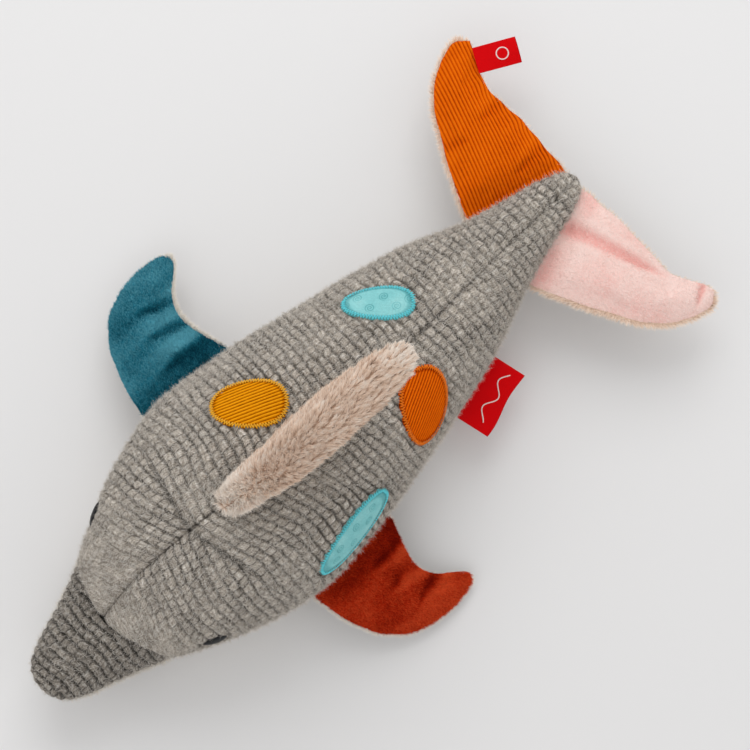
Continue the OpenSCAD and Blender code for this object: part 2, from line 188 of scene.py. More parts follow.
T_FINE = np.linspace(0, LAST, 2001)
X_FINE = spline(STATIONS, T_FINE)[:, 0]
LINE = skin(T_FINE, np.full_like(T_FINE, 45.0))
S_FINE = np.concatenate([[0], np.cumsum(np.linalg.norm(np.diff(LINE, axis=0), axis=1))])


def t_at_x(x):
    return np.interp(x, X_FINE, T_FINE)


def s_at_t(t):
    """Length along the body's shoulder from the snout to a station."""
    return np.interp(t, T_FINE, S_FINE)


def half_width(x):
    return float(spline(STATIONS, t_at_x(x))[1])


def back_z(x):
    return float(spline(STATIONS, t_at_x(x))[2])


def seam_z(x):
    return float(skin(t_at_x(x), SEAM_ANGLE)[2])


def neck(angle):
    return NECK + NECK_SWEEP * np.sin(np.radians(angle)) ** 2


def radius_at(t, angle):
    """Length on the skin for a degree round the body."""
    return np.linalg.norm(skin(t, angle + 1) - skin(t, angle - 1)) / 2


def on_skin(x, angle, dx=0.0, ds=0.0, height=0.0):
    """A point a way along and round the skin from a place on it, and a height above it."""
    a = angle + ds / radius_at(t_at_x(x), angle)
    t = t_at_x(x + dx)
    return skin(t, a) + np.asarray(height)[..., None] * skin_normal(t, a)


def egg(patch, grow, angle):
    """A patch's outline, grown all round, in the patch's own plane."""
    length, width, turn = patch[2:]
    p = (length / 2 + grow) * np.sign(np.cos(angle)) * np.abs(np.cos(angle)) ** 0.92
    q = (width / 2 + grow) * np.sign(np.sin(angle)) * np.abs(np.sin(angle)) ** 0.86 * (1 + 0.06 * np.cos(angle))
    return rotated(p, q, turn)


def inside_patch(patch, points_x, angles):
    """Distance inside a patch's outline, about: positive inside."""
    x, angle, length, width, turn = patch
    p, q = rotated(points_x - x, (angles - angle) * radius_at(t_at_x(x), angle), -turn)
    r = np.hypot(p / (length / 2), q / (width / 2 * (1 + 0.12 * np.clip(p / (length / 2), -1, 1))))
    return (1 - r) * min(length, width) / 2


# ---- meshes
def add_object(name, data):
    o = bpy.data.objects.new(name, data)
    bpy.context.scene.collection.objects.link(o)
    return o


def grid_normals(p):
    return unit(np.cross(np.gradient(p, axis=0), np.gradient(p, axis=1)))


def make_mesh(name, points, groups, material, uv=None, weld=0.0, **values):
    """A mesh from points, arrays of quads or triangles, fabric coordinates, and named values at its points."""
    loops = np.concatenate([f.ravel() for f in groups]).astype(np.int32)
    totals = np.concatenate([np.full(len(f), f.shape[1]) for f in groups]).astype(np.int32)
    me = bpy.data.meshes.new(name)
    me.vertices.add(len(points))
    me.vertices.foreach_set("co", (np.asarray(points, np.float32) * MM).ravel())
    me.loops.add(len(loops))
    me.loops.foreach_set("vertex_index", loops)
    me.polygons.add(len(totals))
    me.polygons.foreach_set("loop_start", np.concatenate([[0], np.cumsum(totals)[:-1]]).astype(np.int32))
    me.polygons.foreach_set("loop_total", totals)
    me.update(calc_edges=True)
    if uv is not None:
        me.uv_layers.new(name="fabric").data.foreach_set("uv", np.asarray(uv, np.float32).reshape(-1, 2)[loops].ravel())
    for key, value in values.items():
        if value is not None:
            me.attributes.new(key, "FLOAT", "POINT").data.foreach_set("value", np.asarray(value, np.float32).ravel())
    me.polygons.foreach_set("use_smooth", np.ones(len(totals), bool))
    me.validate()
    if weld:
        bm = bmesh.new()
        bm.from_mesh(me)
        bmesh.ops.remove_doubles(bm, verts=bm.verts, dist=weld * MM)
        bm.to_mesh(me)
        bm.free()
    me.materials.append(material)
    return add_object(name, me)


def grid_faces(rows, columns, flip=False, wrap=False, first=0):
    i, j = np.meshgrid(np.arange(rows - 1), np.arange(columns if wrap else columns - 1), indexing="ij")
    k = (j + 1) % columns
    q = np.stack([i * columns + j, i * columns + k, (i + 1) * columns + k, (i + 1) * columns + j], -1).reshape(-1, 4)
    return first + (q if flip else q[:, ::-1])


def grid_piece(name, p, material, uv, tone, flip=False, wrap=False, weld=0.0, quilt=None):
    """A sheet from a grid of points, or a disc when its columns wrap round."""
    rows, columns = p.shape[:2]
    return make_mesh(name, p.reshape(-1, 3), [grid_faces(rows, columns, flip, wrap)], material, uv, weld, tone=tone, quilt=quilt)


def on_body(o, slot, *nodes):
    """The piece rides on the body and stands in for CAD nodes."""
    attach(o, "body")
    if nodes:
        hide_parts(*nodes)


def refine(p, rows, columns):
    """A grid of points made finer with smooth curves through it."""
    a = spline(p.reshape(len(p), -1), np.linspace(0, len(p) - 1, rows)).reshape(rows, p.shape[1], -1)
    b = np.swapaxes(a, 0, 1)
    b = spline(b.reshape(len(b), -1), np.linspace(0, len(b) - 1, columns)).reshape(columns, rows, -1)
    return np.swapaxes(b, 0, 1)


def tube(name, paths, radius, material, sides=6):
    """Round threads along several paths of points."""
    points, faces, first = [], [], 0
    turn = np.linspace(0, 2 * np.pi, sides, endpoint=False)[None, :, None]
    for path in paths:
        along = unit(np.gradient(path, axis=0))
        side = unit(np.cross(along, np.array([0.13, 0.21, 0.97])))
        up = np.cross(side, along)
        ring = path[:, None] + radius * (np.cos(turn) * side[:, None] + np.sin(turn) * up[:, None])
        if np.linalg.norm(path[0] - path[-1]) > 1e-6:
            ring[0], ring[-1] = path[0], path[-1]
        points.append(ring.reshape(-1, 3))
        faces.append(grid_faces(len(path), sides, wrap=True, first=first))
        first += len(path) * sides
    return make_mesh(name, np.concatenate(points), [np.concatenate(faces)], material, weld=0.01)


def scatter(q, n, count, rng, margin=0):
    """Evenly spread points on a grid, by area: points, normals, a way to read other grids there, and grid places."""
    a, b, c = q[:-1, :-1], q[1:, :-1], q[:-1, 1:]
    area = np.linalg.norm(np.cross(b - a, c - a), axis=2)
    area[:margin], area[:, :margin] = 0, 0
    cells = rng.choice(area.size, count, p=(area / area.sum()).ravel())
    i, j = np.unravel_index(cells, area.shape)
    fu, fv = rng.random(count), rng.random(count)

    def at(grid):
        extra = (None,) * (grid.ndim - 2)
        w, x = fu[(...,) + extra], fv[(...,) + extra]
        return (grid[i, j] * (1 - w) + grid[i + 1, j] * w) * (1 - x) + (grid[i, j + 1] * (1 - w) + grid[i + 1, j + 1] * w) * x

    return at(q), unit(at(n)), at, (i + fu, j + fv)


def strands(name, root, normal, comb, length, width, material, segments=3, lift=0.5, curl=0.25, seed=1, floor=None, tone=0):
    """Pile or fur: each strand is a slim tapering ribbon that leaves along lift * normal + comb and bends towards comb."""
    rng = np.random.default_rng(seed)
    n = len(root)
    wild = rng.normal(size=(n, 3)) * curl
    comb = np.broadcast_to(comb, (n, 3))
    comb = comb - normal * np.minimum((comb * normal).sum(1, keepdims=True), 0)  # never combed into the cloth
    out = unit(normal * lift + comb + wild)
    end = unit(normal * lift * 0.35 + comb * 1.1 + wild * 1.3)
    side = unit(np.cross(out, unit(normal + 0.5 * rng.normal(size=(n, 3)))))
    steps = np.linspace(0, 1, segments + 1)
    rings = []
    for f in steps:
        centre = root + length[:, None] * (out * f * (1 - 0.5 * f) + end * 0.5 * f * f)
        half = side * (width * (1 - 0.75 * f ** 1.5) / 2)
        rings += [centre - half, centre + half] if f < 1 else [centre]
    p = np.stack(rings, 1)
    if floor is not None:
        p[..., 2] = np.maximum(p[..., 2], floor)
    m = 2 * segments + 1
    base = np.arange(n)[:, None] * m
    quads = [base + np.array([[0, 1, 3, 2]]) + 2 * k for k in range(segments - 1)]
    tips = base + np.array([[m - 3, m - 2, m - 1]])
    along = np.concatenate([np.repeat(steps[:-1], 2), [1.0]])
    shade = tone + rng.uniform(-0.16, 0.16, n)
    # Each strand is darker at its root, where shade falls among the strands: painted shade.
    value = clamp(0.34 + 0.52 * along[None] ** 0.8 + shade[:, None])
    uv = np.repeat(rng.uniform(0, 40, (n, 1, 2)), m, axis=1)
    return make_mesh(name, p.reshape(-1, 3), [*quads, tips], material, uv, tone=value)


# ---- materials
def linear(colour):
    """A colour from 0 to 255 as the shaders take it."""
    return [((c / 255 + 0.055) / 1.055) ** 2.4 if c > 10 else c / 255 / 12.92 for c in colour] + [1.0]


class Shade:
    """Adds nodes to one material."""

    def __init__(self, name, roughness, sheen=0.0, sheen_colour=(255, 255, 255), specular=0.2):
        self.material = bpy.data.materials.new(name)
        self.material.use_nodes = True
        self.tree = self.material.node_tree
        self.shader = self.tree.nodes["Principled BSDF"].inputs
        self.shader["Roughness"].default_value = roughness
        self.shader["Specular IOR Level"].default_value = specular
        self.shader["Sheen Weight"].default_value = sheen
        self.shader["Sheen Roughness"].default_value = 0.4
        self.shader["Sheen Tint"].default_value = linear(sheen_colour)
        self.uv = self.node("UVMap", {}, uv_map="fabric").outputs["UV"]

    def node(self, kind, sockets, **settings):
        """A new node: each of its sockets is given a constant, or linked to another node's output."""
        n = self.tree.nodes.new("ShaderNode" + kind)
        for key, value in settings.items():
            setattr(n, key, value)
        for key, value in sockets.items():
            if isinstance(value, bpy.types.NodeSocket):
                self.tree.links.new(value, n.inputs[key])
            else:
                n.inputs[key].default_value = value
        return n

    def fabric(self, *stretch):
        """Fabric coordinates, stretched."""
        return self.node("Mapping", {"Vector": self.uv, "Scale": (*stretch, 1)}).outputs["Vector"]

    def noise(self, scale, detail, rough, *stretch):
        vector = self.fabric(*(stretch or (1, 1)))
        return self.node("TexNoise", {"Vector": vector, "Scale": scale, "Detail": detail, "Roughness": rough}).outputs["Fac"]

    def value(self, name):
        """A value kept at the mesh's points."""
        return self.node("Attribute", {}, attribute_name=name).outputs["Fac"]

    def math(self, kind, *values):
        return self.node("Math", dict(enumerate(values)), operation=kind).outputs[0]

    def add(self, a, b):
        return self.math("ADD", a, b)

    def times(self, a, b):
        return self.math("MULTIPLY", a, b)

    def ramp(self, value, *stops):
        n = self.node("ValToRGB", {"Fac": value})
        e = n.color_ramp.elements
        while len(e) < len(stops):
            e.new(0.5)
        for k, (at, colour) in enumerate(stops):
            e[k].position = at
            e[k].color = (colour, colour, colour, 1) if np.isscalar(colour) else linear(colour)
        return n.outputs["Color"]

    def mix(self, kind, a, b, factor):
        return self.node("Mix", {0: factor, 6: a, 7: b}, data_type="RGBA", blend_type=kind).outputs[2]

    def dim(self, base, amount, value, *stops):
        """The base colour made darker by a ramp of grey over a value."""
        return self.mix("MULTIPLY", base, self.ramp(value, *stops), amount)

    def finish(self, base, height=None, relief=0.0):
        """Sets the colour, and a bump of so many millimetres."""
        self.tree.links.new(base, self.shader["Base Color"])
        if height is not None:
            bump = self.node("Bump", {"Height": height, "Distance": relief * MM, "Strength": 1.0})
            self.tree.links.new(bump.outputs["Normal"], self.shader["Normal"])
        return self.material


def knit_material():
    """Heather knit. The fabric coordinates count ribs and blocks; quilt says how strongly the quilting shows, in its
    bump and in the painted shade of its valleys.
    """
    s = Shade("quilted_knit", 0.95, 0.12, (226, 222, 216), 0.08)
    split = s.node("SeparateXYZ", {0: s.uv})
    fibres = s.noise(1.0, 4, 0.62, 0.62 * RIB, 0.34 * BLOCK)
    cloudy = s.noise(1.0, 3, 0.6, 0.055 * RIB, 0.055 * BLOCK)
    tufts = s.noise(1.0, 3, 0.65, 0.24 * RIB, 0.36 * BLOCK)
    ragged = s.times(s.math("SUBTRACT", s.noise(1.0, 2, 0.5, 0.5 * RIB, 0.75 * BLOCK), 0.5), 0.16)
    ribs, blocks = s.add(split.outputs["X"], ragged), split.outputs["Y"]
    row, across = s.math("FLOOR", ribs), s.math("FRACT", ribs)
    counted = s.add(s.add(blocks, ragged), s.times(row, GOLDEN))
    column, along = s.math("FLOOR", counted), s.math("FRACT", counted)

    def raised(value, width, share):
        """1, and down to 1 - share in the valleys round whole values."""
        near = s.math("SUBTRACT", 0.5, s.math("ABSOLUTE", s.math("SUBTRACT", value, 0.5)))
        n = s.node("MapRange", {"Value": near, "From Max": width, "To Min": 0.0}, interpolation_type="SMOOTHSTEP")
        return s.add(s.times(n.outputs["Result"], share), 1 - share)

    place = s.node("CombineXYZ", {0: row, 1: column}).outputs[0]
    own = s.node("TexWhiteNoise", {"Vector": place}, noise_dimensions="2D").outputs["Value"]
    bend = s.times(s.math("COSINE", s.times(across, 2 * math.pi)), 0.30)
    yarn = s.math("SINE", s.times(s.add(s.times(blocks, BLOCK / YARN), bend), 2 * math.pi))
    dips = s.times(raised(across, 0.24, 0.66), raised(along, 0.15, 0.54))
    dips = s.add(s.times(s.math("SUBTRACT", dips, 1.0), s.value("quilt")), 1.0)
    base = s.ramp(fibres, (0.30, (152, 143, 131)), (0.46, (196, 186, 173)), (0.54, (222, 212, 200)), (0.70, (255, 251, 243)))
    base = s.dim(base, 0.7, tufts, (0.34, 0.72), (0.6, 1.0))
    base = s.dim(base, 0.8, cloudy, (0.35, 0.80), (0.62, 1.0))
    base = s.dim(base, 0.9, own, (0.0, 0.66), (1.0, 1.0))
    base = s.dim(base, 0.75, s.add(s.times(yarn, 0.5), 0.5), (0.0, 0.72), (0.7, 1.0))
    # The quilting's valleys are darkened: painted shade.
    base = s.dim(base, 1.0, dips, (0.15, 0.16), (1.0, 1.0))
    # The tone varies a little at random and carries painted shade in the creases, seams and grooves, and on the snout.
    base = s.dim(base, 1.0, s.value("tone"), (0.0, 0.16), (0.5, 0.75), (0.9, 1.0))
    height = s.add(s.add(s.times(dips, 1.1), s.times(yarn, 0.16)), s.times(fibres, 0.30))
    return s.finish(base, s.add(height, s.times(tufts, 0.6)), 0.85)


def velour_material(name, dark, mid, light, sheen, sheen_colour, grain=0.60):
    s = Shade(name, 0.8, sheen, sheen_colour, 0.05)
    nap, pile = s.noise(0.05, 3, 0.55, 1.0, 0.6), s.noise(0.85, 4, 0.72)
    base = s.ramp(s.add(s.times(s.value("tone"), 0.86), s.times(nap, 0.14)), (0.22, dark), (0.5, mid), (0.78, light))
    return s.finish(s.dim(base, 0.62, pile, (0.36, grain), (0.60, 1.0)), pile, 0.55)


def corduroy_material(name, groove, rib, crest_highlight):
    s = Shade(name, 0.9, 0.12, crest_highlight, 0.03)
    pile = s.noise(1.9, 4, 0.7)
    # The ramp runs from the grooves' colour, painted shade, to the crests' lightest colour, a painted highlight, which
    # also tints the sheen.
    base = s.ramp(s.value("tone"), (0.02, groove), (0.45, rib), (0.95, crest_highlight))
    return s.finish(s.dim(base, 0.6, pile, (0.28, 0.66), (0.66, 1.0)), pile, 0.2)


def strand_material(name, root, middle, tip):
    s = Shade(name, 0.8, 0.2)
    # The root colour is the darkest: painted shade among the strands.
    base = s.ramp(s.value("tone"), (0.1, root), (0.55, middle), (1.0, tip))
    return s.finish(s.dim(base, 0.5, s.noise(0.6, 2, 0.6), (0.3, 0.84), (0.7, 1.0)))


def thread_material(name, colour, shadow):
    s = Shade(name, 0.5)
    twist = s.node("TexNoise", {"Scale": 1400}).outputs["Fac"]
    return s.finish(s.mix("MIX", linear(shadow), linear(colour), s.ramp(twist, (0.35, 0.0), (0.6, 1.0))), twist, 0.06)


def woven_material(name, colour, shadow):
    s = Shade(name, 0.6, specular=0.04)
    sockets = {"Vector": s.fabric(1, 1), "Scale": 1.9, "Distortion": 0.3, "Detail": 1.0}
    twill = s.node("TexWave", sockets, wave_type="BANDS", bands_direction="DIAGONAL").outputs["Fac"]
    return s.finish(s.mix("MIX", linear(shadow), linear(colour), s.ramp(twill, (0.15, 0.0), (0.6, 1.0))), twill, 0.07)


KNIT = knit_material()
FUZZ = strand_material("knit_fuzz", (150, 142, 133), (206, 199, 190), (238, 233, 226))
PLUSH = strand_material("cream_plush", (196, 182, 166), (240, 232, 221), (252, 248, 242))
FUR = strand_material("beige_fur", (176, 142, 118), (245, 219, 197), (255, 246, 236))
TEAL = velour_material("teal_velour", (2, 58, 76), (32, 122, 145), (102, 182, 200), 0.3, (70, 165, 190))
RUST = velour_material("rust_velour", (122, 10, 0), (200, 45, 10), (234, 90, 46), 0.25, (235, 100, 60))
PINK = velour_material("pink_velour", (250, 192, 184), (255, 224, 216), (255, 236, 230), 0.2, (255, 232, 226), 0.94)
AQUA = velour_material("aqua_velour", (96, 176, 180), (142, 212, 214), (172, 228, 228), 0.12, (190, 240, 240), 0.80)
ORANGE = corduroy_material("orange_corduroy", (104, 24, 0), (222, 86, 0), (246, 122, 12))
MUSTARD = corduroy_material("mustard_corduroy", (112, 46, 0), (228, 138, 0), (250, 172, 22))
RED = woven_material("red_woven", (236, 10, 16), (196, 0, 8))
WHITE_THREAD = thread_material("white_thread", (250, 236, 232), (214, 180, 176))
BLACK_THREAD = thread_material("black_thread", (20, 20, 22), (5, 5, 6))
AQUA_THREAD = thread_material("aqua_thread", (128, 236, 244), (70, 196, 210))
ORANGE_THREAD = thread_material("orange_thread", (255, 142, 24), (226, 98, 4))
MUSTARD_THREAD = thread_material("mustard_thread", (255, 206, 66), (240, 160, 18))


# ---- the quilted knit
DART_FROM = s_at_t(t_at_x(DART_X))


def knit_relief(u, v, side, rib=RIB, darts=True):
    """The knit at u along the body and v round from the seam: height, tone, rib and block counts, quilting, way past the dart."""
    reach = np.sin(np.pi / 2 * clamp(v / DART_LONG))
    past = u - (DART_FROM + DART_SLOPE * v)
    lean = np.where(past < 0, 1.0, -smooth(-past, -150, -30)) if darts else 0.0
    wander = 1.3 * noise(u / 19, v / 19, 3 + side) + 0.55 * noise(u / 6, v / 5, 9) + 0.30 * noise(u / 4, v / 2.3, 10)
    ribs = (u + lean * 2 * rib * reach + wander) / rib
    row = np.floor(ribs)
    blocks = (v + 0.8 * noise(u / 5, v / 7, 21)) / BLOCK
    pillow, knob = hump(ribs - row, 2.6) ** 0.6, hump((blocks + row * GOLDEN) % 1, 5)
    deep = 0.9 + 0.45 * noise(u / 16, v / 14, 31)
    h = 0.7 - 1.9 * deep * (1 - pillow * (0.60 + 0.40 * knob)) + 0.16 * noise(u / 1.8, v / 1.8, 40)
    tone = 0.94 + 0.05 * noise(u / 3, v / 3, 41)
    quilt = np.clip(0.85 + 0.4 * noise(u / 15, v / 13, 33), 0.35, 1)
    if darts:  # the forehead, before the quilting sets in, is nearly smooth
        sets_in = smooth(u - s_at_t(NECK), *((14, 46) if side < 0 else (16, 74)))
        sets_in = np.maximum(sets_in, 0.20 + 0.2 * noise(u / 12, v / 12, 52))
        soft = 0.1 + 0.35 * noise(u / 2.6, v / 2.6, 50)
        h, quilt = soft + (h - soft) * sets_in, quilt * sets_in
    return h, tone, ribs, blocks, quilt, past


def flatten_for_patches(x, angle, h, tone):
    """Presses the knit flat under the patches and eyes, with a groove round each, darkened with painted shade."""
    eyes = [(EYE_X, side * EYE_ANGLE, EYE_SIZE, 0.92 * EYE_SIZE, 0) for side in (-1, 1)]
    for patch in [*PATCHES.values(), *eyes]:
        d = inside_patch(patch, x, angle)
        under, ring = smooth(d, -0.6, 1.6), ridge(d + 1.6, 1.3)
        h = h * (1 - under) - 1.25 * under - 0.55 * ring
        # painted shade in the groove round each patch and eye
        tone = tone * (1 - 0.35 * ring)
    return h, tone


def surface_grid(t, angle):
    """A grid on the skin: its points, lengths u along and v round the body, and size, which is 0 at the body's thin ends."""
    p = skin(t, angle)
    step = np.linalg.norm(np.diff(p, axis=1), axis=2)
    v = np.concatenate([np.zeros((len(p), 1)), np.cumsum(step, axis=1)], axis=1)
    return p, s_at_t(t), v, smooth(spline(STATIONS, t)[..., 1], 1, 12)


def back_panel(side):
    name = "right" if side > 0 else "left"
    station = np.interp(np.linspace(s_at_t(NECK), s_at_t(TAIL_END), 520), S_FINE, T_FINE)[:, None]
    top = np.interp(station, *SEAM_WANDER.T)
    angle = top + (side * SEAM_ANGLE - top) * np.linspace(0, 1, 166)
    t = neck(angle) + (station - NECK) / (LAST - NECK) * (TAIL_END - neck(angle))
    p, u, v, size = surface_grid(t, angle)
    h, tone, ribs, blocks, quilt, past = knit_relief(u, v, side)
    h, tone = flatten_for_patches(p[..., 0], angle, h, tone)
    from_neck, dart = u - u[:1], 1 - smooth(v, 30, DART_LONG)
    crease = 2.6 * fade(v, 1.7) + 2.2 * fade(v[:, -1:] - v, 2.0) + 2.4 * fade(from_neck, 1.7)
    fold = ridge(past, 1.5) * dart * smooth(v, -2, 4)
    puff = 0.54 * ridge(np.abs(past) - 4.5, 3.0) * dart
    lumps = 0.9 * rough(u / 42, v / 42, 60 + side)
    height = (h + lumps) * size - crease * np.clip(size, 0.25, 1) - 2.2 * fold + puff
    # Painted shade: the knit is darker in the dart's fold, along the top seam and at the neck seam.
    tone = clamp(tone * (1 - 0.62 * fold) * (1 - 0.5 * fade(v, 1.3)) * (1 - 0.4 * fade(from_neck, 1.5)))
    q = p + skin_normal(t, angle) * height[..., None]
    q[:, 0, 1] += side * 0.02
    q[-1] = TAIL_TIP
    o = grid_piece("back_panel_" + name, q, KNIT, np.stack([ribs, blocks], -1), tone, side < 0, weld=0.003, quilt=quilt)
    on_body(o, "knit", "side_panel_" + name)
    knit_fuzz("back_fuzz_" + name, q, grid_normals(q) * side, 46000, 100 + side)
    if side > 0:
        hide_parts("body_stuffing")


def knit_fuzz(name, q, n, count, seed):
    """Short loose fibres over the knit, clear of the patches and eyes."""
    rng = np.random.default_rng(seed)
    root, normal, _, (_, column) = scatter(q, n, count, rng, 2)
    angle = rng.uniform(0, 2 * np.pi, count)[:, None]
    a = unit(np.cross(normal, np.array([0.31, 0.11, 0.94])))
    comb = (np.cos(angle) * a + np.sin(angle) * np.cross(normal, a)) * 0.9
    length = rng.uniform(1.6, 4.4, count)
    bare = [(on_skin(*patch[:2]), max(patch[2:4]) / 2 + 1) for patch in PATCHES.values()]
    bare += [(on_skin(EYE_X, side * EYE_ANGLE, height=0.5), 0.75 * EYE_SIZE) for side in (-1, 1)]
    keep = column < q.shape[1] - 5
    for middle, radius in bare:
        keep &= np.linalg.norm(middle - root, axis=1) > radius
    root, normal, comb, length = root[keep], normal[keep], comb[keep], length[keep]
    on_body(strands(name, root - normal * 0.2, normal, comb, length, 0.17, FUZZ, 2, 0.55, 0.35, seed + 1), "knit")


# ---- snout, jaw and belly
def snout():
    rows, columns = 130, 190
    angle = np.linspace(-SEAM_ANGLE, SEAM_ANGLE, columns) * np.ones((rows, 1))
    t = np.linspace(0, 1, rows)[:, None] ** 0.8 * neck(angle)
    p, u, v, _ = surface_grid(t, angle)
    v = v - v[:, columns // 2][:, None]
    h, tone, ribs, blocks, quilt, _ = knit_relief(u + 3, v + 200, 0, rib=5.5, darts=False)
    size, to_neck = smooth(spline(STATIONS, t)[..., 1], 2, 12), s_at_t(neck(angle)) - u
    edge = np.minimum(v - v[:, :1], v[:, -1:] - v)
    height = 1.3 * h * size - 2.4 * fade(to_neck, 1.7) - 1.8 * fade(edge, 2.0) * size
    # Painted shade: the snout is darkened as a whole, more at the neck seam and in the valleys between its ribs.
    tone = clamp(tone * (1 - 0.5 * fade(to_neck, 1.5))) * (0.26 + 0.16 * np.sin(np.pi * (ribs - np.floor(ribs))))
    tone = 0.34 + (tone - 0.34) * size
    q = p + skin_normal(np.maximum(t, 0.03), angle) * height[..., None]
    q[0] = NOSE_TIP
    quilt = clamp(quilt * 1.25) * size
    o = grid_piece("snout_knit", q, KNIT, np.stack([ribs, blocks], -1), tone, weld=0.005, quilt=quilt)
    on_body(o, "knit", "snout_upper")
    knit_fuzz("snout_fuzz", q[2:], grid_normals(q)[2:], 4500, 301)


def plush_ground(name, node, rows, columns, depth, count, seed):
    """A cream plush panel under the body: its backing, its pile, and a fringe along its side seams."""
    jaw = node == "snout_lower"
    angle = np.linspace(SEAM_ANGLE, 360 - SEAM_ANGLE, columns) * np.ones((rows, 1))
    share = np.linspace(0, 1, rows)[:, None]
    t = share * neck(angle) if jaw else neck(angle) + share * (TAIL_END - neck(angle))
    p, u, v, size = surface_grid(t, angle)
    edge = np.minimum(v, v[:, -1:] - v)
    h = -depth + 0.8 * rough(u / 9, v / 9, seed) + 0.3 * rough(u / 2.5, v / 2.5, seed + 1)
    q = p + skin_normal(np.clip(t, 0.03, LAST - 0.03), angle) * (h * size - 1.6 * fade(edge, 1.5) * size)[..., None]
    q[..., 2] = np.maximum(q[..., 2], 0.45 + 0.15 * noise(u / 5, v / 5, seed + 2))
    q[0 if jaw else -1] = NOSE_TIP if jaw else TAIL_TIP
    tone = clamp(0.62 + 0.25 * rough(u / 4, v / 4, seed + 3))
    o = grid_piece(name, q, PLUSH, np.stack([u, v], -1), tone, weld=0.003)
    on_body(o, "belly_plush", node)
    rng, n = np.random.default_rng(seed + 5), grid_normals(q)
    root, normal, at, _ = scatter(q, n, count, rng, 1)
    x, y, z = root.T
    comb = np.array([0.75, 0, -0.1]) + 0.45 * np.stack([
        noise(x / 11, y / 11, seed + 7), noise(x / 9, y / 9, seed + 8), noise(y / 11, z / 11, seed + 9)], -1)
    length = rng.uniform(2.2, 4.4, count) * np.clip(at(size), 0.35, 1)
    on_body(strands(name + "_pile", root, normal, comb, length, 0.34, PLUSH, 3, 0.8, 0.3, seed + 6, 0.25), "belly_plush")
    root, normal, at, (_, column) = scatter(q, n, count // 2 * 12, rng)
    x = root[:, 0]
    at_fin = ((x > -65) & (x < 2)) | ((x > 140) & (x < 207))
    near = np.flatnonzero((np.minimum(column, columns - 1 - column) < 2.2) & ~at_fin)[:count // 2]
    root, normal = root[near], normal[near]
    comb = np.array([0.2, 0, -0.05]) + np.sign(root[:, 1:2]) * [0, 0.9, 0]
    length = rng.uniform(3.2, 6.4, len(near)) * np.clip(at(size)[near], 0.35, 1)
    on_body(strands(name + "_fringe", root, normal, comb, length, 0.26, PLUSH, 3, 0.3, 0.3, seed + 16, 0.25), "belly_plush")


# ---- stuffed fins
def turned(axis, angle):
    """The matrix of a turn about x, y or z, by an angle in radians."""
    i, j = (axis + 1) % 3, (axis + 2) % 3
    m = np.eye(3)
    m[i, i] = m[j, j] = math.cos(angle)
    m[j, i], m[i, j] = math.sin(angle), -math.sin(angle)
    return m


def plane_frame(start, to, droop, side):
    """Axes (as columns) and origin of a fin's own plane, as the CAD model places it."""
    d = np.subtract(to, start)
    mirror = np.diag([1, side, 1])
    turn, rise = math.atan2(d[1], d[0]), math.atan2(d[2], math.hypot(d[0], d[1]))
    return mirror @ turned(2, turn) @ turned(1, -rise) @ turned(0, -math.radians(droop)), mirror @ start


def place(g, axes, origin):
    return g @ axes.T + origin


def pattern(lead, trail, rows, columns):
    """A fin's flat outline filled with a grid: shares of the way out and across, and points."""
    out, across = np.meshgrid(np.linspace(0, 1, rows), np.linspace(0, 1, columns), indexing="ij")
    ahead, behind = (spline(edge, out * (len(edge) - 1)) for edge in (lead, trail))
    return out, across, ahead * (1 - across[..., None]) + behind * across[..., None]


